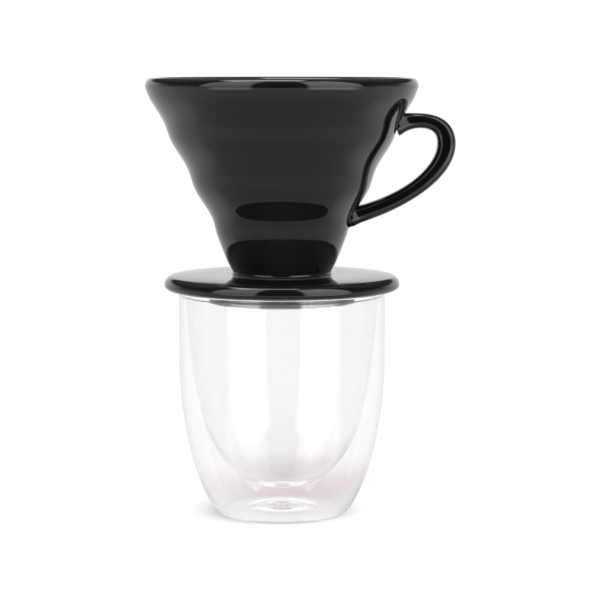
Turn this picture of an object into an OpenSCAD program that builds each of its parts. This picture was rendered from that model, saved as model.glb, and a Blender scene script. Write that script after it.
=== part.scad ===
// Pour-over coffee maker: a glazed ceramic cone dripper on a double-walled tumbler glass.
// Millimetres, +Z up. The glass stands on z = 0 with its axis on Z, and the handle points along +X.

/* [Glass] */
// Height of the glass from the table to the top of its lip
glass_h = 100; // [94:0.2:112]
// Outside diameter of the straight upper part
glass_d = 91.2; // [89:0.2:96]
// Inside diameter at the mouth
mouth_d = 82; // [78:0.2:83]
// Thickness of the outer wall
outer_wall_t = 1.8; // [1.4:0.1:2]
// Thickness of the inner wall
inner_wall_t = 1.6; // [1.2:0.1:2]
// Height of the lip above the seam where the two walls are fused
lip_h = 3; // [2.8:0.1:5]
// Rounding of the lip's two upper corners
lip_round = 0.9; // [0.6:0.1:1.4]
// Thickness of the glass over the space between the walls
lip_cap = 1.7; // [1.4:0.1:2]
// Height at which the curved lower part runs into the straight upper part
shoulder_h = 67.2; // [60:0.2:78]
// Length over which the shoulder is eased into the straight part
shoulder_lead = 18; // [14:1:30]
// Diameter over the flat standing ring of the foot
foot_d = 53.4; // [50:0.2:58]
// Rounding between the standing ring and the side
foot_round = 2.2; // [2.2:0.1:4]
// Lean of the side from upright at the foot
foot_lean = 45.5; // [30:0.5:50]
// Length over which the side keeps that lean
foot_lead = 17.2; // [12:0.2:22]
// Width of the flat standing ring
foot_ring_w = 9; // [6:0.5:11]
// Rise of the hollow under the foot
punt_h = 2.6; // [2.2:0.1:3.5]
// Height of the underside of the inner vessel above the table
vessel_floor_h = 11.8; // [10:0.2:14]
// How far the round bottom of the inner vessel spreads
vessel_spread = 33.5; // [28:0.5:36]
// Diameter that the inner vessel's side heads for at half height
vessel_waist_d = 80; // [76:0.5:82]
// Height at which it would have that diameter
vessel_waist_h = 49.3; // [42:0.1:56]

/* [Vent plug] */
// Diameter of the vent in the middle of the foot
vent_d = 5.4; // [4:0.1:7]
// Diameter of the plug's head
plug_d = 9.4; // [9:0.1:11]
// Thickness of the plug's head
plug_t = 1.4; // [1:0.1:1.8]
// Radial clearance of the plug in the vent
plug_clearance = 0.05; // [0.02:0.01:0.1]

/* [Base plate] */
// Diameter of the plate
plate_d = 104.2; // [98:0.2:112]
// Thickness of the plate at its edge
plate_t = 6.3; // [5:0.1:7]
// Rise of the plate's top from its edge to the waist
plate_rise = 0.8; // [0.5:0.1:1.5]
// Height of the plate's widest line above its underside
widest_h = 2.4; // [2:0.1:3.5]
// Width of the rounding below and above the widest line
edge_w = [3.3, 3.6]; // [2:0.1:5]
// Outside diameter of the locating ring
ring_d = 65; // [56:0.5:74]
// Width of the locating ring
ring_w = 5.5; // [4:0.1:8]
// Height of the locating ring below the plate
ring_h = 5.5; // [3:0.1:6]
// Rounding of the locating ring's edges
ring_round = 1.4; // [0.6:0.1:1.8]
// Gap between the resting plate and the lip of the glass
seat_clearance = 0.3; // [0.2:0.05:0.5]

/* [Cone outside] */
// Outside diameter of the rim
rim_d = 120.2; // [118:0.2:124]
// Thickness of the rounded rim
rim_t = 5.4; // [4.6:0.1:6]
// Height of the rim's rounded crown above its widest line
rim_crown = 3.4; // [2.6:0.1:4]
// Heights of the skirt's lower and upper end above the plate's edge
skirt_h = [7, 18]; // [4:0.1:24]
// Level thickness of the wall at the two ends of the skirt
skirt_t = [14.1, 12]; // [8:0.1:16]
// Heights of the three bulges above the plate's edge
bulge_h = [37.7, 59.2, 78.2]; // [20:0.1:84]
// Level thickness of the wall at the three bulges
bulge_t = [10.1, 8.2, 6.7]; // [5:0.1:13]
// Heights of the three dips above the plate's edge
dip_h = [26.2, 48, 68.2]; // [20:0.1:84]
// Level thickness of the wall at the three dips
dip_t = [9.7, 7.9, 6.5]; // [4:0.1:12]
// Outside diameter of the waist, just above the plate
waist_d = 43.8; // [42:0.2:45]
// Radius of the fillet between the waist and the plate
waist_fillet = 1; // [0.6:0.1:2]

/* [Cone inside] */
// Angle of the filter cone from side to side
filter_angle = 60; // [58:0.5:62]
// Diameter of the drip hole
drip_d = 17; // [14:0.5:20]
// Height of the drip hole's upper edge above the plate's edge
drip_h = 3.8; // [3:0.1:6]
// Length of the straight land in the drip hole
drip_land = 1.8; // [1:0.1:3]
// Diameter of the open space under the drip hole, at the plate's underside
outlet_d = 29; // [24:0.5:31]
// Diameter of the foot that sits in the plate
spigot_d = 37; // [35:0.5:39]
// How far the foot stays back from the underside of the plate
spigot_recess = 1; // [0.5:0.1:2]
// Radial clearance of the foot in the plate
spigot_clearance = 0.05; // [0.02:0.01:0.1]
// Number of spiral ribs, every second one short
rib_n = 12; // [8:2:16]
// Width of a rib
rib_w = 2; // [1.6:0.1:2.6]
// Height of a rib above the wall
rib_h = 1.8; // [1.2:0.1:2.2]
// Radius of the arc that a rib follows, seen from above
rib_sweep = 34; // [30:0.5:40]
// Distance from the axis at which the long ribs start
long_rib_start = 11.5; // [11:0.5:14]
// Distance from the axis at which the short ribs start
short_rib_start = 24; // [20:0.5:30]
// Distance from the axis at which all ribs end
rib_end = 51; // [46:0.5:52]
// Length over which a rib fades out below the rim
rib_fade = 12; // [6:0.5:20]

/* [Handle] */
// Distance from the axis to the middle of the handle at its outermost point
handle_reach = 72.5; // [68:0.1:80]
// Height of the outermost point above the plate's edge
handle_bend_h = 58.4; // [54:0.2:62]
// Height of the upper root above the plate's edge
handle_top_h = 66; // [63:0.2:70]
// Height of the lower root above the plate's edge
handle_low_h = 25.4; // [22:0.2:30]
// Lead of the upper arm out of its root, outwards and upwards
top_lead = [11, 4]; // [0:0.1:20]
// Lead of the lower arm out of its root, outwards and upwards
low_lead = [29, 6.6]; // [0:0.1:40]
// Leads above and below the outermost point
bend_lead = [11.6, 11.8]; // [5:0.1:20]
// Width of the handle across its loop
handle_w = 11.5; // [9:0.1:14]
// Width at the two roots
root_w = 14.5; // [12:0.1:17]
// Thickness of the upper arm, the bend and the lower arm
handle_t = [6.6, 8.2, 6.8]; // [5:0.1:10]
// Thickness at the upper and the lower root
root_t = [9.8, 7.6]; // [7:0.1:13]

/* [Hidden] */
glaze = [0.05, 0.05, 0.055];
clear_glass = [0.88, 0.92, 0.95, 0.35];
silicone = [0.86, 0.88, 0.9];
// Facets of a full turn, and steps along a small rounding and along a half round
round_fn = 96;
corner_steps = 8;
round_steps = 20;

// Places worked out from the sizes above
glass_r = glass_d / 2;
mouth_r = mouth_d / 2;
seam_z = glass_h - lip_h;
foot_r = foot_d / 2;
vent_r = vent_d / 2;
plate_z = glass_h + seat_clearance;
plate_top = plate_z + plate_t;
spigot_r = spigot_d / 2;
drip_r = drip_d / 2;
waist_r = waist_d / 2;
half_angle = filter_angle / 2;
rim_mid = [rim_d / 2 - rim_t / 2, drip_h + (rim_d / 2 - rim_t - drip_r) / tan(half_angle)];
cone_h = rim_mid.y + rim_crown;

function reverse(list) = [for (i = [len(list) - 1:-1:0]) list[i]];

// Points on an arc round a centre, with radii along r and z, from angle a to angle b
function oval_arc(centre, radii, a, b, steps) =
    [for (i = [0:steps]) let (s = a + (b - a) * i / steps) centre + [radii.x * cos(s), radii.y * sin(s)]];
function arc(centre, r, a, b, steps) = oval_arc(centre, [r, r], a, b, steps);

// Point and direction at t on the curve with the four control points p
function bezier(p, t) =
    pow(1 - t, 3) * p[0] + 3 * pow(1 - t, 2) * t * p[1] + 3 * (1 - t) * t * t * p[2] + pow(t, 3) * p[3];
function bezier_speed(p, t) =
    pow(1 - t, 2) * (p[1] - p[0]) + 2 * (1 - t) * t * (p[2] - p[1]) + t * t * (p[3] - p[2]);
function bezier_dir(p, t) = bezier_speed(p, t) / norm(bezier_speed(p, t));

// Points along a curve, moved to its left by a distance
function bezier_side(p, shift, steps) =
    [for (i = [0:steps]) let (t = i / steps, d = bezier_dir(p, t)) bezier(p, t) + shift * [-d.y, d.x]];

// Value at x of the smooth curve through knots given as [x, value]; its slope at a knot is that of the
// chord between the two neighbours
function knot_slope(k, i) =
    let (a = k[max(i - 1, 0)], b = k[min(i + 1, len(k) - 1)]) (b.y - a.y) / (b.x - a.x);
function knot_below(k, x) = max([for (i = [0:len(k) - 2]) if (i == 0 || x >= k[i].x) i]);
function smooth(k, x) =
    let (
        i = knot_below(k, x),
        span = k[i + 1].x - k[i].x,
        u = (x - k[i].x) / span,
        rise = 3 * u * u - 2 * u * u * u
    )
    k[i].y * (1 - rise) + k[i + 1].y * rise
        + span * u * (1 - u) * (knot_slope(k, i) * (1 - u) - knot_slope(k, i + 1) * u);

// Inside of the cone: the straight wall that the paper filter stands in
function inner_h(r) = drip_h + (r - drip_r) / tan(half_angle);
function inner_r(h) = drip_r + (h - drip_h) * tan(half_angle);

// Outside of the cone: fillet at the waist, then a smooth wall over skirt, dips and bulges, then the rim.
// The fillet runs from just short of flat on the plate to the lean of the skirt, and the rim takes over
// from the wall a little below its widest line. A lower rim leaves room for fewer bulges. Heights count from
// the top of the plate's edge.
fillet_from = 250;
fillet_to = 150;
rim_from = -20;
fillet_mid = [waist_r + waist_fillet, plate_rise + waist_fillet];
fillet_line = arc(fillet_mid, waist_fillet, fillet_from, fillet_to, corner_steps);
fillet_end = fillet_line[corner_steps];
rim_line = oval_arc(rim_mid, [rim_t / 2, rim_crown], rim_from, 180, round_steps);
function wall_knot(h, t) = [h, inner_r(h) + t];
wall_rings = concat(
    [for (i = [0:len(skirt_h) - 1]) wall_knot(skirt_h[i], skirt_t[i])],
    [for (i = [0:len(dip_h) - 1]) each [wall_knot(dip_h[i], dip_t[i]), wall_knot(bulge_h[i], bulge_t[i])]]
);
wall_knots = concat(
    [[fillet_end.y, fillet_end.x]],
    [for (ring = wall_rings)
        if (ring.x > fillet_end.y + waist_fillet && ring.x < rim_line[0].y - rim_crown) ring],
    [[rim_line[0].y, rim_line[0].x]]
);
function wall_r(h) = smooth(wall_knots, h);
wall_steps = 44;
wall_line = [
    for (i = [1:wall_steps - 1])
        let (h = fillet_end.y + (rim_line[0].y - fillet_end.y) * i / wall_steps) [wall_r(h), h]
];
outside_line = concat(fillet_line, wall_line, rim_line);

spigot_h = -plate_t + spigot_recess;
cone_section = concat(
    [[outlet_d / 2, spigot_h], [spigot_r, spigot_h], [spigot_r, plate_rise], [fillet_line[0].x, plate_rise]],
    outside_line,
    [[drip_r, drip_h], [drip_r, drip_h - drip_land]]
);

// One spiral rib: an upright strip along an arc through the axis, trimmed to a skin on the inner wall and
// carried a little way into that wall
rib_sink = 1;
module rib_plan() {
    intersection() {
        translate([rib_sweep, 0]) difference() {
            circle(rib_sweep + rib_w / 2, $fn = round_fn);
            circle(rib_sweep - rib_w / 2, $fn = round_fn);
        }
        square(2 * rib_sweep + rib_w);
    }
}
module rib(start) {
    crest = rib_h / cos(half_angle);
    fade_r = rib_end - rib_fade * sin(half_angle);
    intersection() {
        rotate_extrude($fn = round_fn) polygon([
            [start + rib_sink, inner_h(start)],
            [rib_end + rib_sink, inner_h(rib_end)],
            [rib_end, inner_h(rib_end)],
            [fade_r - crest, inner_h(fade_r)],
            [start - crest, inner_h(start)]
        ]);
        translate([0, 0, drip_h]) linear_extrude(cone_h) rib_plan();
    }
}
module dripper_cone() {
    color(glaze) translate([0, 0, plate_top]) {
        rotate_extrude($fn = round_fn) polygon(cone_section);
        for (i = [0:rib_n - 1])
            rotate(i * 360 / rib_n) rib(i % 2 == 0 ? long_rib_start : short_rib_start);
    }
}

// Handle: a rounded strap carried along two curves that meet at the outermost point. Its ends run into the
// wall of the cone and are trimmed to the wall's outside.
root_sink = 3.6;
handle_bend = [handle_reach, handle_bend_h];
top_root = [wall_r(handle_top_h) - root_sink, handle_top_h];
low_root = [wall_r(handle_low_h) - root_sink, handle_low_h];
upper_arm = [top_root, top_root + top_lead, handle_bend + [0, bend_lead[0]], handle_bend];
lower_arm = [handle_bend, handle_bend - [0, bend_lead[1]], low_root + low_lead, low_root];
arm_steps = 20;
strap_sides = 20;
strap_power = 2.6;
strap_t = [[0, root_t[0]], [0.2, handle_t[0]], [0.5, handle_t[1]], [0.8, handle_t[2]], [1, root_t[1]]];
strap_w = [[0, root_w], [0.2, handle_w], [0.5, handle_w], [0.8, handle_w], [1, root_w]];
function rounded(v) = sign(v) * pow(abs(v), 2 / strap_power);
function strap_ring(p, d, t, w) = [
    for (j = [0:strap_sides - 1])
        let (a = 360 * j / strap_sides, u = rounded(cos(a)) * t / 2, v = rounded(sin(a)) * w / 2)
            [p.x - d.y * u, v, p.y + d.x * u]
];
module strap() {
    rings = [
        for (i = [0:2 * arm_steps])
            let (
                s = i / (2 * arm_steps),
                arm = s < 0.5 ? upper_arm : lower_arm,
                t = s < 0.5 ? 2 * s : 2 * s - 1
            )
                strap_ring(bezier(arm, t), bezier_dir(arm, t), smooth(strap_t, s), smooth(strap_w, s))
    ];
    last = len(rings) - 1;
    function at(i, j) = i * strap_sides + j % strap_sides;
    polyhedron(
        points = [for (ring = rings) each ring],
        faces = concat(
            [reverse([for (j = [0:strap_sides - 1]) at(0, j)])],
            [for (i = [0:last - 1]) for (j = [0:strap_sides - 1]) each [
                [at(i, j), at(i, j + 1), at(i + 1, j)],
                [at(i, j + 1), at(i + 1, j + 1), at(i + 1, j)]
            ]],
            [[for (j = [0:strap_sides - 1]) at(last, j)]]
        )
    );
}
module dripper_handle() {
    color(glaze) translate([0, 0, plate_top]) difference() {
        strap();
        rotate_extrude($fn = round_fn)
            polygon(concat([[0, fillet_line[0].y]], outside_line, [[0, rim_mid.y]]));
    }
}

// Base plate with a rounded edge, a top that runs on from it and flattens towards the level seat of the cone,
// and the locating ring that drops into the mouth of the glass
edge_to = 83;
crown_power = 4;
module base_plate() {
    edge_r = [for (w = edge_w) plate_d / 2 - w];
    upper_edge = oval_arc([edge_r[1], widest_h], [edge_w[1], plate_t - widest_h], 0, edge_to, corner_steps);
    top_start = upper_edge[corner_steps];
    top_end = [waist_r + waist_fillet, plate_t + plate_rise];
    top_run = top_end - top_start;
    top_line = [
        for (i = [1:round_steps])
            let (u = i / round_steps) top_start + [top_run.x * u, top_run.y * (1 - pow(1 - u, crown_power))]
    ];
    socket_r = spigot_r + spigot_clearance;
    ring_r = ring_d / 2;
    ring_inner_r = ring_r - ring_w;
    color(glaze) translate([0, 0, plate_z]) rotate_extrude($fn = round_fn) polygon(concat(
        [[socket_r, plate_t + plate_rise], [socket_r, 0], [ring_inner_r, 0]],
        arc([ring_inner_r + ring_round, ring_round - ring_h], ring_round, 180, 270, corner_steps),
        arc([ring_r - ring_round, ring_round - ring_h], ring_round, -90, 0, corner_steps),
        [[ring_r, 0]],
        oval_arc([edge_r[0], widest_h], [edge_w[0], widest_h], -90, 0, corner_steps),
        upper_edge,
        top_line
    ));
}

// Outer wall: standing ring, rounded corner, flared side and straight upper part, all of one thickness
foot_mid = [foot_r, foot_round];
side_start = foot_mid + foot_round * [cos(foot_lean), -sin(foot_lean)];
side = [
    side_start,
    side_start + foot_lead * [sin(foot_lean), cos(foot_lean)],
    [glass_r, shoulder_h - shoulder_lead],
    [glass_r, shoulder_h]
];
side_steps = 24;
punt_r = foot_r - foot_ring_w;
// Underside of the foot, from the flat round the plug out to the standing ring
plug_land = 1;
punt_flat_r = plug_d / 2 + plug_land;
punt_line = [
    for (i = [0:round_steps])
        let (u = i / round_steps) [punt_flat_r + (punt_r - punt_flat_r) * u, punt_h * (1 + cos(180 * u)) / 2]
];
module outer_glass_wall() {
    corner_r = foot_round - outer_wall_t;
    color(clear_glass) rotate_extrude($fn = round_fn) polygon(concat(
        [[vent_r, punt_h]],
        punt_line,
        arc(foot_mid, foot_round, -90, -foot_lean, corner_steps),
        bezier_side(side, 0, side_steps),
        [[glass_r, seam_z], [jacket_r, seam_z]],
        reverse(bezier_side(side, outer_wall_t, side_steps)),
        arc(foot_mid, corner_r, -foot_lean, -90, corner_steps),
        reverse([for (p = punt_line) p + [0, outer_wall_t]]),
        [[vent_r, punt_h + outer_wall_t]]
    ));
}

// Inner vessel with a round bottom, and the level lip that closes the space between the two walls. The space
// runs up into the lip under a round arch.
neck_r = mouth_r + inner_wall_t;
jacket_r = glass_r - outer_wall_t;
lip_corner_z = glass_h - lip_round;
arch_r = (jacket_r - neck_r) / 2;
arch_mid = [neck_r + arch_r, max(seam_z, glass_h - lip_cap - arch_r)];
bowl = [
    [0, vessel_floor_h],
    [vessel_spread, vessel_floor_h],
    [vessel_waist_d / 2, vessel_waist_h],
    [neck_r, seam_z]
];
bowl_steps = 36;
module inner_glass_wall() {
    inside = bezier_side(bowl, inner_wall_t, bowl_steps);
    color(clear_glass) rotate_extrude($fn = round_fn) polygon(concat(
        bezier_side(bowl, 0, bowl_steps),
        arc(arch_mid, arch_r, 180, 0, corner_steps),
        [[jacket_r, seam_z], [glass_r, seam_z]],
        arc([glass_r - lip_round, lip_corner_z], lip_round, 0, 90, corner_steps),
        arc([mouth_r + lip_round, lip_corner_z], lip_round, 90, 180, corner_steps),
        reverse([for (i = [1:bowl_steps - 1]) inside[i]]),
        [[0, vessel_floor_h + inner_wall_t]]
    ));
}

// Plug: a domed head under the foot and a stem in the vent
module vent_plug() {
    stem_r = vent_r - plug_clearance;
    head_r = plug_d / 2;
    color(silicone) rotate_extrude($fn = round_fn) polygon(concat(
        [[0, punt_h + outer_wall_t], [0, punt_h - plug_t]],
        arc([head_r - plug_t, punt_h], plug_t, -90, 0, corner_steps),
        [[stem_r, punt_h], [stem_r, punt_h + outer_wall_t]]
    ));
}

dripper_cone();
dripper_handle();
base_plate();
outer_glass_wall();
inner_glass_wall();
vent_plug();
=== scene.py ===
import math

import bpy
import numpy as np
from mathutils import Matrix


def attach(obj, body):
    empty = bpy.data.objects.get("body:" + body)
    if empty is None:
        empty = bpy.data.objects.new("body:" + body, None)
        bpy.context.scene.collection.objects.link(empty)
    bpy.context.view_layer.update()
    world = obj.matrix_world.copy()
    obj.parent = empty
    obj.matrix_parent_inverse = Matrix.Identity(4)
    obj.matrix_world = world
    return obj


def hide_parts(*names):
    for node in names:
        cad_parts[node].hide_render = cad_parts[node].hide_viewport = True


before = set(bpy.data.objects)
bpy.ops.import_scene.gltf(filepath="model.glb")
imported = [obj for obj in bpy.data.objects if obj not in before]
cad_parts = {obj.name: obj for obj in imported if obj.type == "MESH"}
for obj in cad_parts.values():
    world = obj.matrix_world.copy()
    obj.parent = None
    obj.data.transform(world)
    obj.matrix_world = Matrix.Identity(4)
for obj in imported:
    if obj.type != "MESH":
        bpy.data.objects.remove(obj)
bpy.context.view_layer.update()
scene = bpy.context.scene
scene.view_settings.view_transform = "Standard"
mm = 0.001  # sizes below are in millimetres, meshes in metres
onePoint = 1e-5  # points closer than this count as one
white = (1, 1, 1, 1)
black = (0, 0, 0, 1)
print("frame loaded:", ", ".join(sorted(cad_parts)))


# Profile curves give their points as rows of (r, z).
# Oval arc: centre plus the two radii times cosine and sine of an angle that runs evenly from a to b.
def ovalArc(centre, radii, a, b, steps):
    t = np.radians(np.linspace(a, b, steps + 1))[:, None]
    return np.array(centre) + np.array(radii) * np.hstack([np.cos(t), np.sin(t)])


# Straight run from p to q, sampled closer at its ends (half a cosine wave), so that a flat keeps its
# shading up to its rounded corners.
def straight(p, q, steps):
    t = (0.5 - 0.5 * np.cos(np.linspace(0, np.pi, steps + 1)))[:, None]
    return (1 - t) * np.array(p) + t * np.array(q)


# Cubic curve: four points weighted by (1-t)^3, 3t(1-t)^2, 3t^2(1-t), t^3, pushed to its left along the
# normal, which is the derivative turned a quarter; gives the places and the directions.
def cubic(points, t, push=0.0):
    p = np.asarray(points, float)
    u = 1 - t
    place = np.stack([u**3, 3 * t * u * u, 3 * t * t * u, t**3], -1) @ p
    speed = np.stack([-u * u, u * u - 2 * t * u, 2 * t * u - t * t, t * t], -1) @ p
    speed /= np.linalg.norm(speed, axis=-1, keepdims=True)
    return place + push * np.stack([-speed[:, 1], speed[:, 0]], -1), speed


# Smooth curve through knots (x, value): cubic between neighbours, the slope at a knot is that of the
# chord from the knot before it to the knot after it.
def through(knots, x):
    k = np.asarray(knots, float)
    last = len(k) - 1
    before = np.maximum(np.arange(last + 1) - 1, 0)
    after = np.minimum(np.arange(last + 1) + 1, last)
    slope = (k[after, 1] - k[before, 1]) / (k[after, 0] - k[before, 0])
    i = np.clip(np.searchsorted(k[:, 0], x, side="right") - 1, 0, last - 1)
    span = k[i + 1, 0] - k[i, 0]
    u = (x - k[i, 0]) / span
    rise = u * u * (3 - 2 * u)
    bend = span * u * (1 - u) * (slope[i] * (1 - u) - slope[i + 1] * u)
    return k[i, 1] * (1 - rise) + k[i + 1, 1] * rise + bend


# Softened corner: parabola with weights (1-t)^2, 2t(1-t), t^2 on a point short of the corner, the corner
# itself and a point as far past it.
def softCorner(before, corner, after, reach, steps=8):
    before, corner, after = (np.array(v, float) for v in (before, corner, after))
    t = np.linspace(0, 1, steps + 1)[:, None]
    p = corner + reach * (before - corner) / np.linalg.norm(before - corner)
    q = corner + reach * (after - corner) / np.linalg.norm(after - corner)
    return (1 - t) ** 2 * p + 2 * t * (1 - t) * corner + t * t * q


# Runs put one after the other, with doubled end points taken out.
def joined(*runs):
    line = np.vstack(runs)
    step = np.linalg.norm(np.diff(line, axis=0), axis=1)
    return line[np.r_[True, step > onePoint]]


# Soft step: 0 below a, 1 above b, 3u^2 - 2u^3 between.
def softStep(a, b, x):
    u = np.clip((x - a) / (b - a), 0, 1)
    return u * u * (3 - 2 * u)


# Grid to mesh: rows run along a profile or path, columns close round it. A row that shrinks to one point
# is a pole, and a fan of triangles closes it.
def gridMesh(name, points, loop=False, marks=None):
    rows, cols = points.shape[:2]
    index = np.arange(rows * cols).reshape(rows, cols)
    poles = [int(not loop and np.ptp(points[end], axis=0).max() < onePoint) for end in (0, -1)]
    body = np.vstack([index, index[:1]]) if loop else index[poles[0]: rows - poles[1]]
    a, b = body[:-1], body[1:]
    faces = [np.stack([a, np.roll(a, -1, 1), np.roll(b, -1, 1), b], -1).reshape(-1, 4)]
    if poles[0]:
        faces.append(np.stack([0 * body[0] + index[0, 0], np.roll(body[0], -1), body[0]], -1))
    if poles[1]:
        faces.append(np.stack([body[-1], np.roll(body[-1], -1), 0 * body[-1] + index[-1, 0]], -1))
    sizes = np.concatenate([np.full(len(f), f.shape[1]) for f in faces])
    used, corners = np.unique(np.concatenate([f.ravel() for f in faces]), return_inverse=True)
    mesh = bpy.data.meshes.new(name)
    mesh.vertices.add(len(used))
    mesh.vertices.foreach_set("co", (points.reshape(-1, 3)[used] * mm).astype(np.float32).ravel())
    mesh.loops.add(len(corners))
    mesh.loops.foreach_set("vertex_index", corners.astype(np.int32))
    mesh.polygons.add(len(sizes))
    mesh.polygons.foreach_set("loop_start", (np.cumsum(sizes) - sizes).astype(np.int32))
    mesh.polygons.foreach_set("use_smooth", np.ones(len(sizes), bool))
    mesh.update(calc_edges=True)
    for label, values in (marks or {}).items():
        layer = mesh.attributes.new(label, "FLOAT", "POINT")
        layer.data.foreach_set("value", values.reshape(-1)[used].astype(np.float32))
    piece = bpy.data.objects.new(name, mesh)
    scene.collection.objects.link(piece)
    print("made", name, "with", len(sizes), "faces")
    return piece


# Turned piece: x = r cos a, y = r sin a and z as in the profile, for angles spread over a full turn.
def turned(name, profile, columns, loop=False, marks=None):
    a = np.linspace(0, 2 * np.pi, columns, endpoint=False)
    r, z = profile[:, :1], profile[:, 1:]
    points = np.stack([r * np.cos(a), r * np.sin(a), z + 0 * a], -1)
    spread = {label: np.repeat(v[:, None], columns, 1) for label, v in (marks or {}).items()}
    return gridMesh(name, points, loop, spread)


# How sharply a profile bends outwards, 0 to 1: turning angle for each millimetre, evened out over rows.
def edgeMark(profile, full=0.5):
    ahead = np.roll(profile, -1, 0) - profile
    behind = profile - np.roll(profile, 1, 0)
    turn = behind[:, 0] * ahead[:, 1] - behind[:, 1] * ahead[:, 0]
    run = np.linalg.norm(ahead, axis=1), np.linalg.norm(behind, axis=1)
    bend = np.arcsin(np.clip(turn / (run[0] * run[1]), -1, 1)) / (0.5 * (run[0] + run[1]))
    for _ in range(3):
        bend = 0.25 * np.roll(bend, 1) + 0.5 * bend + 0.25 * np.roll(bend, -1)
    return np.clip(bend / full, 0, 1)


# Shader wiring: sums and products of sockets become Math nodes.
class Wire:
    def __init__(self, finish, socket):
        self.finish = finish
        self.socket = socket

    def calc(self, operation, *values):
        return self.finish.node("Math", {"operation": operation}, dict(enumerate(values)))

    def __add__(self, other):
        return self.calc("ADD", self, other)

    def __radd__(self, other):
        return self.calc("ADD", other, self)

    def __sub__(self, other):
        return self.calc("SUBTRACT", self, other)

    def __rsub__(self, other):
        return self.calc("SUBTRACT", other, self)

    def __mul__(self, other):
        return self.calc("MULTIPLY", self, other)

    def __rmul__(self, other):
        return self.calc("MULTIPLY", other, self)

    def __truediv__(self, other):
        return self.calc("DIVIDE", self, other)

    def __rtruediv__(self, other):
        return self.calc("DIVIDE", other, self)

    # the value without its sign
    def size(self):
        return self.calc("ABSOLUTE", self)

    # soft step of the value from low to high
    def between(self, low, high):
        span = {"Value": self, "From Min": low, "From Max": high}
        return self.finish.node("MapRange", {"interpolation_type": "SMOOTHSTEP"}, span)


class Finish:
    def __init__(self, owner):
        owner.use_nodes = True
        self.tree = owner.node_tree
        self.tree.nodes.clear()

    # kind of node, its settings, then its sockets by name or number; gives the named output
    def node(self, kind, settings=None, sockets=None, out=0):
        made = self.tree.nodes.new("ShaderNode" + kind)
        for key, value in (settings or {}).items():
            setattr(made, key, value)
        for key, value in (sockets or {}).items():
            if isinstance(value, Wire):
                self.tree.links.new(value.socket, made.inputs[key])
            else:
                made.inputs[key].default_value = value
        return Wire(self, made.outputs[out]) if made.outputs else None

    def place(self):
        return self.node("TexCoord", out="Object")

    def axis(self, vector, letter):
        return self.node("SeparateXYZ", {}, {"Vector": vector}, out=letter)

    def noise(self, scale, detail=2.0, rough=0.5):
        sockets = {"Vector": self.place(), "Scale": scale, "Detail": detail, "Roughness": rough}
        return self.node("TexNoise", {}, sockets, out="Fac")

    def mark(self, label):
        return self.node("Attribute", {"attribute_name": label}, out="Fac")

    def mixed(self, factor, first, second):
        return self.node("Mix", {"data_type": "RGBA"}, {0: factor, 6: first, 7: second}, out=2)

    def grey(self, value):
        return self.node("CombineColor", {}, {0: value, 1: value, 2: value})

    def bump(self, height, distance, strength=1.0, under=None):
        sockets = {"Height": height, "Distance": distance, "Strength": strength}
        if under:
            sockets["Normal"] = under
        return self.node("Bump", {}, sockets)

    def ray(self, kind):
        return self.node("LightPath", out=kind)

    # 1 for a ray that has been through glass
    def pastGlass(self):
        return self.ray("Transmission Depth").between(0, 1)

    def light(self, colour, strength=1.0):
        return self.node("Emission", {}, {"Color": colour, "Strength": strength})

    def blend(self, factor, first, second):
        return self.node("MixShader", {}, {0: factor, 1: first, 2: second})

    def close(self, shader, kind="Material"):
        self.node("Output" + kind, {}, {"Surface": shader})


def newFinish(name):
    return Finish(bpy.data.materials.new(name))


def dress(piece, material, slot, body, *nodes):
    piece.data.materials.append(bpy.data.materials[material])
    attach(piece, body)
    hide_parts(*nodes)


# Camera at the photograph's angle
cameraSet = {
    "place": (8, -1000, 202.4), "downDeg": 6.1,
    "focalPx": 2264, "framePx": 600, "sensorW": 36, "clipEnd": 50,
}

lens = bpy.data.cameras.new("studioCamera")
lens.sensor_width = cameraSet["sensorW"]
lens.lens = cameraSet["focalPx"] / cameraSet["framePx"] * lens.sensor_width
lens.clip_end = cameraSet["clipEnd"]
camera = bpy.data.objects.new("studioCamera", lens)
camera.location = [v * mm for v in cameraSet["place"]]
camera.rotation_euler = (math.radians(90 - cameraSet["downDeg"]), 0, 0)
scene.collection.objects.link(camera)
scene.camera = camera
print("camera set")


# Light panels: a tall one on each side of the camera, and their shine on the floor below. Angles are in
# degrees, seen from above and counted from the camera.
panelSet = {
    "sides": (
        {"side": -1, "turn": (25, 71), "floorTurn": (24.5, 60), "glow": (1.5, 2.2)},  # low down, and higher up
        {"side": 1, "turn": (22.5, 71), "floorTurn": (22.5, 64), "glow": (2.05, 2.75)},
    ),
    "soft": (2.5, 2.5),  # how soft the inner and the outer edge is
    "floorSoft": (2.5, 7),
    "climb": (0, 0.6),  # sine of the height angle over which the glow rises
    "top": (0.88, 0.96),  # and over which a panel ends
}


# Light of the two panels in a heading: for each, its glow times a soft step in at the inner angle times one
# out at the outer. With rise the glow climbs from low to high, without it it is the low one, on the floor.
def panelLight(turn, rise=None):
    total = 0
    for panel in panelSet["sides"]:
        aside = panel["side"] * turn
        inner, outer = (math.radians(v) for v in panel["turn" if rise else "floorTurn"])
        softIn, softOut = (math.radians(v) for v in panelSet["soft" if rise else "floorSoft"])
        low, high = panel["glow"]
        glow = low + (high - low) * rise.between(*panelSet["climb"]) if rise else low
        inside = aside.between(inner - softIn, inner + softIn)
        total = total + glow * inside * (1 - aside.between(outer - softOut, outer + softOut))
    return total


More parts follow.
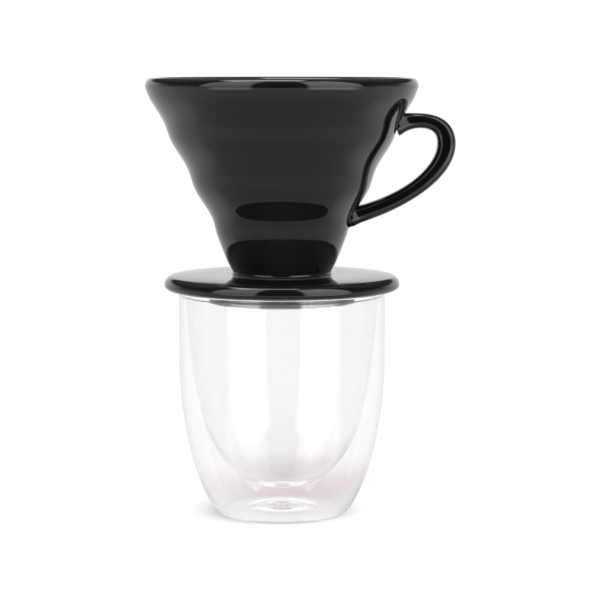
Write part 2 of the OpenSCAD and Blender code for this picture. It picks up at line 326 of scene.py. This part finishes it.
# World: white all round for the camera and, a little dimmer at the sides and above, for light that comes
# through the glass. What the glaze mirrors is a dim front with the two panels, a lamp overhead, a ceiling that
# brightens upwards and to the back, and a low white back. Pairs give where something sets in or ends, as a
# part of the heading: upwards (Rise, Top), or to the back or the side (From).
skySet = {
    "lamp": {  # run over rise, to the side and towards the camera
        "across": (-0.50, 0.16), "towards": (-0.20, 0.23), "soft": 0.03, "rise": (0.5, 0.6), "glow": 6.5,
    },
    "again": 2.5,  # even light in reflections of reflections
    "againRise": (0.2, 0.5),
    "againSide": 0.5,  # what it loses to the sides
    "againSideFrom": (0.1, 0.7),
    "ceiling": 0.16,
    "ceilingBack": 2.1,  # how much is added to it at the back
    "ceilingFrom": (0, 0.4),
    "front": 0.02,
    "sides": 0.28,
    "sidesFrom": (-0.5, 0),
    "back": 0.70,
    "backFrom": (0.35, 0.75),
    "backTop": (0.20, 0.33),
    "below": 0.85,  # below the horizon
    "belowFrom": (-0.6, -0.1),
    "horizonRise": (-0.01, 0.03),
    "sideDim": 0.2,  # what the sides lack, through the glass
    "sideDimFrom": (0.25, 0.7),
    "topDim": 0.5,  # and what the ceiling lacks
    "topDimRise": (0.3, 0.7),
}

world = bpy.data.worlds.new("studio")
scene.world = world
sky = Finish(world)
heading = sky.node("TexCoord", out="Generated")
east, north, rise = (sky.axis(heading, letter) for letter in "XYZ")
turn = east.calc("ARCTAN2", east, -1 * north)
panels = panelLight(turn, rise) * (1 - rise.between(*panelSet["top"]))
lamp = skySet["lamp"]
soft = lamp["soft"]
inside = rise.between(*lamp["rise"])
for span, (start, end) in ((east / rise, lamp["across"]), (-1 * north / rise, lamp["towards"])):
    inside = inside * span.between(start - soft, start + soft) * (1 - span.between(end - soft, end + soft))
again = sky.ray("Glossy Depth").between(1, 2)
even = 1 - skySet["againSide"] * east.size().between(*skySet["againSideFrom"])
even = skySet["again"] * even * rise.between(*skySet["againRise"])
lights = (1 - again) * (panels + lamp["glow"] * inside) + again * even
ceiling = 1 + skySet["ceilingBack"] * north.between(*skySet["ceilingFrom"])
ceiling = skySet["ceiling"] * rise * rise * ceiling
back = skySet["sides"] * north.between(*skySet["sidesFrom"])
back = back + skySet["back"] * north.between(*skySet["backFrom"])
back = back * (1 - rise.between(*skySet["backTop"]))
glow = skySet["front"] + ceiling + back + lights
below = skySet["below"] * north.between(*skySet["belowFrom"]) + panelLight(turn)
upper = rise.between(*skySet["horizonRise"])
glow = glow * upper + below * (1 - upper)
clear = 1 + panels - skySet["sideDim"] * (1 - north.size().between(*skySet["sideDimFrom"]))
clear = clear - skySet["topDim"] * rise.between(*skySet["topDimRise"])
behind = sky.pastGlass()
glow = glow * (1 - behind) + clear * behind
mirrored = sky.node("Background", {}, {"Color": sky.grey(glow)})
plain = sky.node("Background", {}, {"Color": white})
sky.close(sky.blend(sky.ray("Is Camera Ray"), mirrored, plain), "World")


# Floor: a sheet of white paper. The camera sees the shadow round the foot and white further out. Through the
# glass it glows with a painted warm shade behind the foot and a painted pool of light in the foot's hollow.
# Glaze mirrors it matt near the object and bright from there on, with the panels' shine painted on as glow.
# A pair is the distance over which something sets in.
floorSet = {
    "rings": (0, 150, 300, 600, 3000), "ringStepDeg": 5,
    "fibre": (900, 3), "fibreShade": 0.97,
    "tone": 0.44,  # what glaze mirrors of it near the object
    "shownTone": 0.62,  # what the camera sees round the foot
    "shownLift": 0.36,  # brings that up to white where it is lit
    "shadowMiddle": (-3, 8, 0),
    "shadowFar": (27, 41),  # here the shadow fades out for the camera
    # painted shade: a darker, warmer floor colour behind the foot, given off as glow where the floor is seen
    # through the glass
    "paintedThroughGlass": (0.765, 0.695, 0.70, 1),
    "warmShare": 0.85,  # the rest takes the shadow
    "warmMiddle": (15, 48, 0),
    "warmFar": (5, 95),
    # painted light: the floor in the foot's hollow glows brighter than white for rays through the glass
    "hollow": (1.30, 1.27, 1.28, 1),
    "hollowMiddle": (0, 10, 0),  # where the camera sees the floor through the foot's hollow
    "hollowFar": (12, 17),
    "bright": (0.85, 0.85, 0.85, 1),
    "brightFar": (135, 450),
    "brightBack": (-20, 70),  # and this far to the back
    "brightEnd": (-1600, -900),  # it ends towards the camera
    "panelFar": (330, 480),
    "panelGlassFar": (20, 190),  # the same for light that has been through glass
    "panelGlass": 1.6,  # and how much more of it the two walls send back
}

ring = np.radians(np.arange(0, 360, floorSet["ringStepDeg"]))
reach = np.array(floorSet["rings"])[:, None]
sheet = np.stack([reach * np.cos(ring), reach * np.sin(ring), 0 * reach * ring], -1)
floor = gridMesh("floor", sheet[::-1])
paper = newFinish("floorPaper")
place = paper.place()
east, north = (paper.axis(place, letter) for letter in "XY")
fibre = paper.noise(*floorSet["fibre"])


# Soft step over the distance from a place on the floor.
def awayFrom(middle, far):
    ends = {0: place, 1: [v * mm for v in floorSet[middle]]}
    away = paper.node("VectorMath", {"operation": "DISTANCE"}, ends, out="Value")
    return away.between(*[v * mm for v in floorSet[far]])


# Soft step over the way to the back.
def backBy(far):
    return north.between(*[v * mm for v in floorSet[far]])


def mattPaper(tone):
    shades = [(tone * part,) * 3 + (1,) for part in (1, floorSet["fibreShade"])]
    return paper.node("BsdfDiffuse", {}, {"Color": paper.mixed(fibre, *shades)})


toCamera, behind = paper.ray("Is Camera Ray"), paper.pastGlass()
lit = paper.light(white, floorSet["shownLift"])
lit = paper.node("AddShader", {}, {0: mattPaper(floorSet["shownTone"]), 1: lit})
# painted shade behind the foot, given off as glow for rays through the glass; most of that view shows it
# instead of the real shadow
paintedThroughGlass = paper.mixed(awayFrom("warmMiddle", "warmFar"), floorSet["paintedThroughGlass"], white)
# painted pool of light in the foot's hollow, mixed into the painted shade
paintedThroughGlass = paper.light(paper.mixed(awayFrom("hollowMiddle", "hollowFar"), floorSet["hollow"], paintedThroughGlass))
shadowEnd = awayFrom("shadowMiddle", "shadowFar")
near = paper.blend(floorSet["warmShare"] * behind, lit, paintedThroughGlass)
plain = paper.blend(shadowEnd, near, paper.blend(behind, paper.light(white), paintedThroughGlass))
bright = paper.light(paper.mixed(backBy("brightEnd"), black, floorSet["bright"]))
brightFar, brightBack = awayFrom("shadowMiddle", "brightFar"), backBy("brightBack")
mirrored = paper.blend(shadowEnd, lit, mattPaper(floorSet["tone"]))
mirrored = paper.blend(brightFar + brightBack - brightFar * brightBack, mirrored, bright)
# painted reflection of the two panels on the floor, as glow: in the glaze further out, and stronger through the
# glass
panels = floorSet["panelGlass"] * awayFrom("shadowMiddle", "panelGlassFar") * behind
panels = awayFrom("shadowMiddle", "panelFar") * (1 - behind) + panels
panels = paper.light(paper.grey(panels * panelLight(east.calc("ARCTAN2", east, -1 * north))))
shown = paper.node("AddShader", {}, {0: paper.blend(behind, mirrored, plain), 1: panels})
shown = paper.blend(toCamera, shown, plain)
fromBelow = paper.node("NewGeometry", out="Backfacing")  # from below the floor is left out
paper.close(paper.blend(fromBelow, shown, paper.node("BsdfTransparent")))
floor.data.materials.append(bpy.data.materials["floorPaper"])
print("studio set")


# Black glaze: near-black glass over clay. It thins a little on edges (mark "edge"), where the clay's brown
# comes through; a slow swell and a fine orange peel move the normal. Noises are scale, detail and roughness,
# bumps are height in metres and strength.
glazeSet = {
    "black": (0.0042, 0.0050, 0.0047, 1), "thin": (0.012, 0.010, 0.009, 1),
    "shine": (0.95, 1, 0.975, 1), "ior": 1.5,
    "cloud": (55, 4, 0.6), "thinSpan": (0.3, 0.7), "roughSpan": (0.45, 0.8),
    "rough": 0.035, "roughCloud": 0.03, "roughEdge": 0.02,
    "swell": (38, 1), "swellBump": (0.00012, 0.5), "peel": (420, 2), "peelBump": (0.000008, 0.5),
}


def glazeNodes(finish):
    g = glazeSet
    edge = finish.mark("edge")
    cloud = finish.noise(*g["cloud"])
    swell = finish.bump(finish.noise(*g["swell"]), *g["swellBump"])
    return {
        "Base Color": finish.mixed(edge * cloud.between(*g["thinSpan"]), g["black"], g["thin"]),
        "Roughness": g["rough"] + g["roughCloud"] * cloud.between(*g["roughSpan"]) + g["roughEdge"] * edge,
        "Normal": finish.bump(finish.noise(*g["peel"]), *g["peelBump"], swell),
        "Specular Tint": g["shine"],
        "IOR": g["ior"],
    }


glaze = newFinish("blackGlaze")
glaze.close(glaze.node("BsdfPrincipled", {}, glazeNodes(glaze)))

# Plate finish: the same glaze, wiped off the bottom of the locating ring before firing (mark "bare"), along a
# slightly ragged line
claySet = {
    "dark": (0.74, 0.68, 0.60, 1), "pale": (0.88, 0.83, 0.76, 1),
    "grain": (1400, 4, 0.7), "paleSpan": (0.3, 0.75), "grainBump": (0.00006, 0.6),
    "rough": 0.78, "roughGrain": 0.15,
    "ragged": (160, 3), "raggedBy": 0.2, "wipedSpan": (0.45, 0.55),
}

wiped = newFinish("wipedGlaze")
grain = wiped.noise(*claySet["grain"])
ragged = claySet["raggedBy"] * (wiped.noise(*claySet["ragged"]) - 0.5)
bare = (wiped.mark("bare") + ragged).between(*claySet["wipedSpan"])
clay = wiped.mixed(grain.between(*claySet["paleSpan"]), claySet["dark"], claySet["pale"])
clayRough = claySet["rough"] + claySet["roughGrain"] * grain
sockets = glazeNodes(wiped)
sockets["Base Color"] = wiped.mixed(bare, sockets["Base Color"], clay)
sockets["Roughness"] = (1 - bare) * sockets["Roughness"] + bare * clayRough
sockets["Normal"] = wiped.bump(bare * (grain - 1), *claySet["grainBump"], sockets["Normal"])
wiped.close(wiped.node("BsdfPrincipled", {}, sockets))

# Blown glass: clear, with slow waves from the blowing and ripples at the bottom of the vessel (mark "bowl");
# where a ray has been reflected too often inside it, it shows a painted dim, even glow instead
glassSet = {
    "tint": (0.992, 0.987, 0.992, 1), "ior": 1.45,
    "wave": (22, 1), "waveBump": (0.00012, 0.25), "ripple": (60, 1), "rippleBump": (0.0006, 0.8),
    "haze": (70, 3), "hazeSpan": (0.55, 0.85), "hazeRough": 0.012,
    "paintedGlow": (0.68, 0.655, 0.67, 1), "caughtFrom": 2.5,  # number of reflections
}


# painted glow: glass and silicone give off a dim even colour for rays past the set number of reflections
def closeClear(finish, shader):
    depth = finish.ray("Glossy Depth")
    deep = depth.calc("GREATER_THAN", depth, glassSet["caughtFrom"])
    finish.close(finish.blend(deep, shader, finish.light(glassSet["paintedGlow"])))


blown = newFinish("blownGlass")
wave = blown.bump(blown.noise(*glassSet["wave"]), *glassSet["waveBump"])
ripple = blown.mark("bowl") * blown.noise(*glassSet["ripple"])
haze = blown.noise(*glassSet["haze"])
closeClear(blown, blown.node("BsdfPrincipled", {}, {
    "Base Color": glassSet["tint"],
    "Roughness": glassSet["hazeRough"] * haze.between(*glassSet["hazeSpan"]),
    "Normal": blown.bump(ripple, *glassSet["rippleBump"], wave),
    "IOR": glassSet["ior"],
    "Transmission Weight": 1.0,
}))

# Silicone: clear with a touch of milk, satin
siliconeSet = {
    "thin": (0.93, 0.92, 0.91, 1), "milky": (0.97, 0.965, 0.96, 1), "milk": (500, 3),
    "rough": 0.22, "roughMilk": 0.1, "skin": (2600, 2), "skinBump": (0.00001, 0.4), "ior": 1.41, "clear": 0.88,
}

rubber = newFinish("clearSilicone")
milk = rubber.noise(*siliconeSet["milk"])
closeClear(rubber, rubber.node("BsdfPrincipled", {}, {
    "Base Color": rubber.mixed(milk, siliconeSet["thin"], siliconeSet["milky"]),
    "Roughness": siliconeSet["rough"] + siliconeSet["roughMilk"] * milk,
    "Normal": rubber.bump(rubber.noise(*siliconeSet["skin"]), *siliconeSet["skinBump"]),
    "IOR": siliconeSet["ior"],
    "Transmission Weight": siliconeSet["clear"],
}))
print("finishes mixed")


# Filter cone: a wavy turned wall on a straight 60 degree inside, with swirling ribs in it. All heights
# are above the top of the plate's edge, all arcs in degrees.
coneSet = {
    "plateTop": 106.6, "rimD": 120.2, "rimT": 5.4, "rimCrown": 3.399, "rimArc": (-20, 150),
    "skirtH": (7, 18), "skirtT": (14.1, 12),
    "bulgeH": (37.7, 59.2, 78.2), "bulgeT": (10.1, 8.2, 6.7),
    "dipH": (26.2, 48, 68.2), "dipT": (9.7, 7.9, 6.5),
    "waistD": 43.8, "fillet": 1, "filletArc": (262, 150), "seatH": 0.8, "halfAngle": 30,
    "rimDrop": 4, "rimLead": (-0.6, -1.3), "insideLead": 1.6,  # how the rim runs on into the inside
    "dripD": 17, "dripH": 3.8, "dripLand": 1.8, "outletD": 29, "outletInset": (0.45, -0.5),
    "spigotD": 37, "spigotH": -5.3, "spigotInset": 0.5, "sunk": 0.15, "seatGap": 0.02,
    "dripSoft": 0.9, "landSoft": 0.6, "outletSoft": 0.5, "spigotSoft": 0.4,
    "ribs": 12, "ribW": 2, "ribH": 1.8, "ribFoot": 0.5, "ribSweep": 34, "ribBack": 0.3, "ribThin": 0.6,
    "longStart": 11.5, "shortStart": 24, "ribRise": 2.6, "ribEnd": 51, "ribFade": 6.5,
    "acrossRib": 15, "acrossGap": 7, "wallRows": 104, "insideRows": 90,
}


# Level radius of the inside at a height: drip hole plus height times the tangent of the half angle.
def insideR(h):
    c = coneSet
    return c["dripD"] / 2 + (h - c["dripH"]) * math.tan(math.radians(c["halfAngle"]))


# What the wall runs between: the fillet at the waist and the oval rim, both arcs, and the knots of the outside,
# where radius is that of the inside plus the level thickness of skirt, dips and bulges.
def coneLines():
    c = coneSet
    slope = math.tan(math.radians(c["halfAngle"]))
    rimIn = c["rimD"] / 2 - c["rimT"]
    rimMid = np.array([rimIn + c["rimT"] / 2, c["dripH"] + (rimIn - c["dripD"] / 2) / slope])
    filletMid = (c["waistD"] / 2 + c["fillet"], c["seatH"] + c["fillet"])
    fillet = ovalArc(filletMid, (c["fillet"], c["fillet"]), *c["filletArc"], 14)
    rim = ovalArc(rimMid, (c["rimT"] / 2, c["rimCrown"]), *c["rimArc"], 34)
    at = np.array(c["skirtH"] + sum(zip(c["dipH"], c["bulgeH"]), ()))
    wall = np.array(c["skirtT"] + sum(zip(c["dipT"], c["bulgeT"]), ()))
    knots = np.vstack([fillet[-1, ::-1], np.stack([at, insideR(at) + wall], -1), rim[0, ::-1]])
    return rimMid, fillet, rim, knots


# Outer radius of the cone at a height, from the smooth curve over skirt, dips and bulges.
def coneR(h):
    return through(coneLines()[3], h)


# The cone's grid: rows go up the outside, over the rim, down the inside and back through the drip hole.
# A rib follows a circle through the axis, so at radius r it stands at the angle whose cosine is
# r / (2 * sweep); columns crowd along the ribs, and each rib lifts its columns off the wall by a soft bell.
def filterCone():
    c = coneSet
    rimMid, fillet, rim, knots = coneLines()
    h = np.linspace(knots[0, 0], knots[-1, 0], c["wallRows"])
    wall = np.stack([through(knots, h), h], -1)
    dripR, holeH, landH = c["dripD"] / 2, c["dripH"], c["dripH"] - c["dripLand"]
    topH = rimMid[1] - c["rimDrop"]
    lean = np.array([math.sin(math.radians(c["halfAngle"])), math.cos(math.radians(c["halfAngle"]))])
    top = np.array([insideR(topH), topH])
    leads = [rim[-1], rim[-1] + c["rimLead"], top + c["insideLead"] * lean, top]
    over = cubic(leads, np.linspace(0, 1, 9))[0]
    inH = np.linspace(topH, holeH + 1, c["insideRows"])
    inside = np.stack([insideR(inH), inH], -1)
    outR, spigotR, low = c["outletD"] / 2, c["spigotD"] / 2, c["spigotH"]
    seat = c["seatH"] - c["sunk"]
    inset = np.array(c["outletInset"])
    under = joined(
        softCorner(inside[-1], (dripR, holeH), (dripR, landH), c["dripSoft"]),
        softCorner((dripR, holeH), (dripR, landH), (outR, low), c["landSoft"], 6),
        straight((dripR, landH) + inset, (outR, low) - inset, 8),
        softCorner((dripR, landH), (outR, low), (spigotR, low), c["outletSoft"], 6),
        softCorner((outR, low), (spigotR, low), (spigotR, 0), c["spigotSoft"], 6),
        straight((spigotR, low + c["spigotInset"]), (spigotR, seat), 4),
        straight((spigotR, seat), (fillet[0, 0] - c["seatGap"], seat), 3),
    )
    profile = joined(fillet, wall, rim, over, inside, under)
    rows = len(profile)
    inFrom = np.argmin(np.abs(profile - top).sum(1))
    inTo = inFrom + len(inside) - 1
    rimFrom = np.argmin(np.abs(profile - rim[0]).sum(1))
    row = np.arange(rows)
    follow = np.interp(row, [rimFrom, inFrom, inTo, rows - 1], [0, 1, 1, 0])[:, None]
    r = np.where(row < inFrom, c["ribEnd"], np.where(row > inTo, dripR, profile[:, 0]))
    r = np.clip(r, dripR, c["ribEnd"])
    swirl = np.arccos(r / (2 * c["ribSweep"]))
    footHalf = (c["ribW"] / 2 + c["ribFoot"]) / (r * np.sin(swirl))
    sector = 2 * np.pi / c["ribs"]
    u = np.linspace(-1, 1, c["acrossRib"])
    v = np.linspace(0, 1, c["acrossGap"] + 2)[1:-1]
    local = np.hstack([footHalf[:, None] * u, footHalf[:, None] + v * (sector - 2 * footHalf[:, None])])
    count = local.shape[1]
    even = (np.arange(count) - (c["acrossRib"] - 1) / 2) * sector / count
    local = follow * (swirl[:, None] + local) + (1 - follow) * (swirl[0] + even)
    turn = np.arange(c["ribs"]) * sector
    angle = (turn[None, :, None] + local[:, None, :]).reshape(rows, -1)
    bell = np.hstack([1 - softStep(c["ribBack"], 1, np.abs(u)), 0 * v])
    inner = ((row >= inFrom) & (row <= inTo))[:, None]
    starts = np.where(np.arange(c["ribs"]) % 2 == 0, c["longStart"], c["shortStart"])
    along = softStep(starts, starts + c["ribRise"], profile[:, :1])
    along = along * (1 - softStep(c["ribEnd"] - c["ribFade"], c["ribEnd"], profile[:, :1])) * inner
    lift = (c["ribH"] * along[:, :, None] * bell[None, None, :]).reshape(rows, -1)
    radius = profile[:, :1] - lift * lean[1]
    z = profile[:, 1:] + lift * lean[0] + c["plateTop"]
    points = np.stack([radius * np.cos(angle), radius * np.sin(angle), z], -1)
    edge = np.maximum(edgeMark(profile)[:, None], c["ribThin"] * lift / c["ribH"])
    return gridMesh("filterCone", points, True, {"edge": edge})


dress(filterCone(), "blackGlaze", "glaze", "dripper", "dripper_cone")


# Handle: a strap with a rounded section (superellipse) carried along two cubic curves that meet upright at
# the outermost point; it swells towards both roots and ends inside the cone's wall. Thickness and width are
# knots over the share of the way.
strapSet = {
    "reach": 72.5, "bendH": 58.4, "topH": 66, "lowH": 25.4, "topLead": (11, 4), "lowLead": (29, 6.6),
    "bendLead": (11.6, 11.8), "sink": 3.6, "power": 3.4, "startShare": 0.07, "endShare": 0.99,
    "thick": ((0, 9.8), (0.2, 6.6), (0.5, 8.2), (0.8, 6.8), (1, 7.6)),
    "wide": ((0, 14.5), (0.2, 11.5), (0.5, 11.5), (0.8, 11.5), (1, 14.5)),
    "flare": 1.5, "flareReach": 1.6,
    "steps": 72, "around": 60, "edgePower": 3, "edgeThin": 0.5,
}


def strapHandle():
    s = strapSet
    bend = np.array([s["reach"], s["bendH"]])
    top, low = (np.array([float(coneR(h)) - s["sink"], h]) for h in (s["topH"], s["lowH"]))
    upper = [top, top + s["topLead"], bend + (0, s["bendLead"][0]), bend]
    lower = [bend, bend - (0, s["bendLead"][1]), low + s["lowLead"], low]
    t = np.linspace(0, 1, s["steps"])
    tUp = s["startShare"] + (1 - s["startShare"]) * t
    tLow = s["endShare"] * t[1:]
    pUp, dUp = cubic(upper, tUp)
    pLow, dLow = cubic(lower, tLow)
    path = np.vstack([pUp, pLow])
    ahead = np.vstack([dUp, dLow])
    share = np.concatenate([tUp / 2, 0.5 + tLow / 2])
    clear = path[:, 0] - coneR(path[:, 1])  # how far the middle is outside the wall
    flare = s["flare"] * np.exp(-np.clip(clear, 0, None) / s["flareReach"])
    thick = through(s["thick"], share) + flare
    wide = through(s["wide"], share) + flare
    a = np.linspace(0, 2 * np.pi, s["around"], endpoint=False)
    out = np.sign(np.cos(a)) * np.abs(np.cos(a)) ** (2 / s["power"])
    side = np.sign(np.sin(a)) * np.abs(np.sin(a)) ** (2 / s["power"])
    u = thick[:, None] / 2 * out
    v = wide[:, None] / 2 * side
    points = np.stack([path[:, :1] - ahead[:, 1:] * u, v, path[:, 1:] + ahead[:, :1] * u], -1)
    ends = np.stack([path[:, 0], 0 * path[:, 0], path[:, 1]], -1)[[0, -1], None, :].repeat(len(a), 1)
    points = np.concatenate([ends[:1], points, ends[1:]]) + (0, 0, coneSet["plateTop"])
    corner = np.abs(np.sin(2 * a)) ** s["edgePower"] * np.ones((len(points), 1))
    return gridMesh("strapHandle", points, False, {"edge": s["edgeThin"] * corner})


dress(strapHandle(), "blackGlaze", "glaze", "dripper", "dripper_handle")


# Base plate: a disc with an oval edge, a top that runs on from it and flattens towards the cone's seat (1 less
# the fourth power of the way still to go), and a ring under it that drops into the glass.
plateSet = {
    "z": 100.3, "d": 104.2, "t": 6.3, "rise": 0.8, "seatR": 22.9, "crownPower": 4,
    "widestH": 2.4, "edgeLow": 3.3, "edgeTop": 3.6, "edgeTo": 83,
    "ringD": 65, "ringW": 5.5, "ringH": 5.5, "ringRound": 1.4, "ringSoft": 0.9, "ringInset": 1,
    "socketR": 18.55, "socketSoft": (0.4, 0.3), "socketInset": 0.5,  # corner below, corner above
    "bareSpan": (0.3, 0.75), "edgeFull": 1.4, "columns": 200,
}


def basePlate():
    p = plateSet
    ringOut, inner = p["ringD"] / 2, p["socketR"]
    ringIn, rr, low = ringOut - p["ringW"], p["ringRound"], -p["ringH"]
    lowR, topR = p["d"] / 2 - p["edgeLow"], p["d"] / 2 - p["edgeTop"]
    widest, seat = p["widestH"], p["t"] + p["rise"]
    soft, inset, start = p["ringSoft"], p["ringInset"], inner + p["socketInset"]
    softLow, softTop = p["socketSoft"]
    edge = ovalArc((topR, widest), (p["edgeTop"], p["t"] - widest), 0, p["edgeTo"], 24)
    u = np.linspace(0, 1, 41)
    crown = edge[-1] + ((p["seatR"], seat) - edge[-1]) * np.stack([u, 1 - (1 - u) ** p["crownPower"]], -1)
    profile = joined(
        softCorner((inner, seat), (inner, 0), (ringIn, 0), softLow, 5),
        straight((start, 0), (ringIn - inset, 0), 8),
        softCorner((inner, 0), (ringIn, 0), (ringIn, low), soft, 6),
        straight((ringIn, -inset), (ringIn, low + rr), 4),
        ovalArc((ringIn + rr, low + rr), (rr, rr), 180, 270, 12),
        straight((ringIn + rr, low), (ringOut - rr, low), 8),
        ovalArc((ringOut - rr, low + rr), (rr, rr), -90, 0, 12),
        straight((ringOut, low + rr), (ringOut, -inset), 4),
        softCorner((ringOut, low), (ringOut, 0), (lowR, 0), soft, 6),
        straight((ringOut + inset, 0), (lowR, 0), 14),
        ovalArc((lowR, widest), (p["edgeLow"], widest), -90, 0, 20),
        edge,
        crown,
        straight((p["seatR"], seat), (start, seat), 6),
        softCorner((p["seatR"], seat), (inner, seat), (inner, 0), softTop, 4),
    )
    bareFrom, bareTo = p["bareSpan"]
    bare = 1 - softStep(low + bareFrom, low + bareTo, profile[:, 1])
    marks = {"edge": edgeMark(profile, p["edgeFull"]), "bare": bare}
    return turned("basePlate", profile + (0, p["z"]), p["columns"], True, marks)


dress(basePlate(), "wipedGlaze", "glaze", "dripper", "base_plate")


# Double-walled glass, blown in one: the profile starts on the axis under the inner vessel, climbs the
# vessel's outside, turns in the hollow below the lip, comes down the jacket's inside to the vent, then goes
# along the foot, up the jacket's outside, over the lip and down into the vessel. Vessel and jacket are cubic
# curves, each with its other face a wall's thickness to its left; the foot's hollow is half a cosine wave.
glassShape = {
    "h": 100, "r": 45.6, "mouthR": 41, "outerT": 1.8, "innerT": 1.6, "lipH": 3, "lipRound": 0.6, "lipCap": 1.7,
    "shoulderH": 67.2, "shoulderLead": 18, "shoulderInset": 0.3, "mouthRun": 1.6,
    "footR": 26.7, "footRound": 2.2, "footLean": 45.5, "footLead": 17.2, "standW": 9,
    "puntH": 2.6, "puntFlatR": 5.7, "puntInset": 0.1, "ventR": 2.7, "ventSoft": 0.25, "ventInset": 0.3,
    "floorH": 11.8, "spread": 33.5, "waistR": 40, "waistH": 49.3,
    "bowlR": 21, "bowlWiden": 0.45, "bowlFrom": (8, 10), "bowlTo": (22, 45),  # where the ripples are
    "columns": 176,
}


def doubleGlass():
    g = glassShape
    lean = math.radians(g["footLean"])
    footMid = np.array([g["footR"], g["footRound"]])
    start = footMid + g["footRound"] * np.array([math.cos(lean), -math.sin(lean)])
    side = [
        start,
        start + g["footLead"] * np.array([math.sin(lean), math.cos(lean)]),
        (g["r"], g["shoulderH"] - g["shoulderLead"]),
        (g["r"], g["shoulderH"]),
    ]
    jacketR = g["r"] - g["outerT"]
    neckR = g["mouthR"] + g["innerT"]
    lipRound = g["lipRound"]
    cornerH = g["h"] - lipRound
    arch = (jacketR - neckR) / 2
    archH = g["h"] - g["lipCap"] - arch
    bowl = [
        (0, g["floorH"]),
        (g["spread"], g["floorH"]),
        (g["waistR"], g["waistH"]),
        (neckR, g["h"] - g["lipH"]),
    ]
    t = np.linspace(0, 1, 84)
    straightH = g["shoulderH"] + g["shoulderInset"]
    puntR, flatR = g["footR"] - g["standW"], g["puntFlatR"]
    s = np.linspace(0, 1, 24)
    punt = np.stack([flatR + (puntR - flatR) * s, g["puntH"] * (1 + np.cos(np.pi * s)) / 2], -1)
    ventR, ventLow, ventTop = g["ventR"], g["puntH"], g["puntH"] + g["outerT"]
    soft, inset = g["ventSoft"], g["puntInset"]
    flatFrom, flatTo = ventR + g["ventInset"], flatR - inset
    profile = joined(
        cubic(bowl, t)[0],
        ovalArc((neckR + arch, archH), (arch, arch), 180, 0, 16),
        straight((jacketR, archH), (jacketR, straightH), 26),
        cubic(side, t[::-1], g["outerT"])[0],
        ovalArc(footMid, (g["footRound"] - g["outerT"],) * 2, -g["footLean"], -90, 12),
        punt[::-1] + (0, g["outerT"]),
        straight((flatTo, ventTop), (flatFrom, ventTop), 6),
        softCorner((flatR, ventTop), (ventR, ventTop), (ventR, ventLow), soft, 5),
        softCorner((ventR, ventTop), (ventR, ventLow), (flatR, ventLow), soft, 5),
        straight((flatFrom, ventLow), (flatTo, ventLow), 6),
        punt,
        straight((puntR + inset, 0), (g["footR"] - inset, 0), 10),
        ovalArc(footMid, (g["footRound"],) * 2, -90, -g["footLean"], 16),
        cubic(side, t)[0],
        straight((g["r"], straightH), (g["r"], cornerH), 26),
        ovalArc((g["r"] - lipRound, cornerH), (lipRound, lipRound), 0, 90, 14),
        straight((g["r"] - lipRound, g["h"]), (g["mouthR"] + lipRound, g["h"]), 6),
        ovalArc((g["mouthR"] + lipRound, cornerH), (lipRound, lipRound), 90, 180, 14),
        straight((g["mouthR"], cornerH), (g["mouthR"], cornerH - g["mouthRun"]), 5),
        cubic(bowl, t[::-1][1:], g["innerT"])[0],
    )
    profile[[0, -1], 0] = 0
    r, z = profile.T
    ripples = softStep(*g["bowlFrom"], z) * (1 - softStep(*g["bowlTo"], z))
    ripples = ripples * (r < g["bowlR"] + g["bowlWiden"] * z)
    return turned("doubleGlass", profile, g["columns"], False, {"bowl": ripples})


dress(doubleGlass(), "blownGlass", "clear_glass", "glass", "outer_glass_wall", "inner_glass_wall")


# Vent plug: a low domed head with a rounded edge and a shallow ring (a bell over the radius), and a stem in
# the vent.
plugSet = {
    "headR": 4.7, "headT": 1.4, "dentR": 2.0, "dentW": 0.35, "dentH": 0.12,
    "stemR": 2.65, "stemH": 1.8, "neckSoft": 0.2, "tipSoft": 0.3, "tipInset": 0.35,
    "z": 2.6, "gap": 0.05, "columns": 72,
}


def ventPlug():
    p = plugSet
    r = np.linspace(0, p["headR"] - p["headT"], 20)
    dent = p["dentH"] * np.exp(-((r - p["dentR"]) / p["dentW"]) ** 2)
    face = np.stack([r, -p["headT"] + dent], -1)
    top = -p["gap"]  # a hair below the glass, so that the two faces stay apart
    stemR, stemH = p["stemR"], p["stemH"]
    profile = joined(
        face,
        ovalArc((p["headR"] - p["headT"], top), (p["headT"], p["headT"] + top), -90, 0, 12),
        straight((p["headR"], top), (stemR + p["neckSoft"], top), 6),
        softCorner((p["headR"], top), (stemR, top), (stemR, stemH), p["neckSoft"], 4),
        softCorner((stemR, top), (stemR, stemH), (0, stemH), p["tipSoft"], 5),
        straight((stemR - p["tipInset"], stemH), (0, stemH), 6),
    )
    profile[[0, -1], 0] = 0
    return turned("ventPlug", profile + (0, p["z"]), p["columns"])


dress(ventPlug(), "clearSilicone", "silicone", "glass", "vent_plug")
print("pieces dressed")
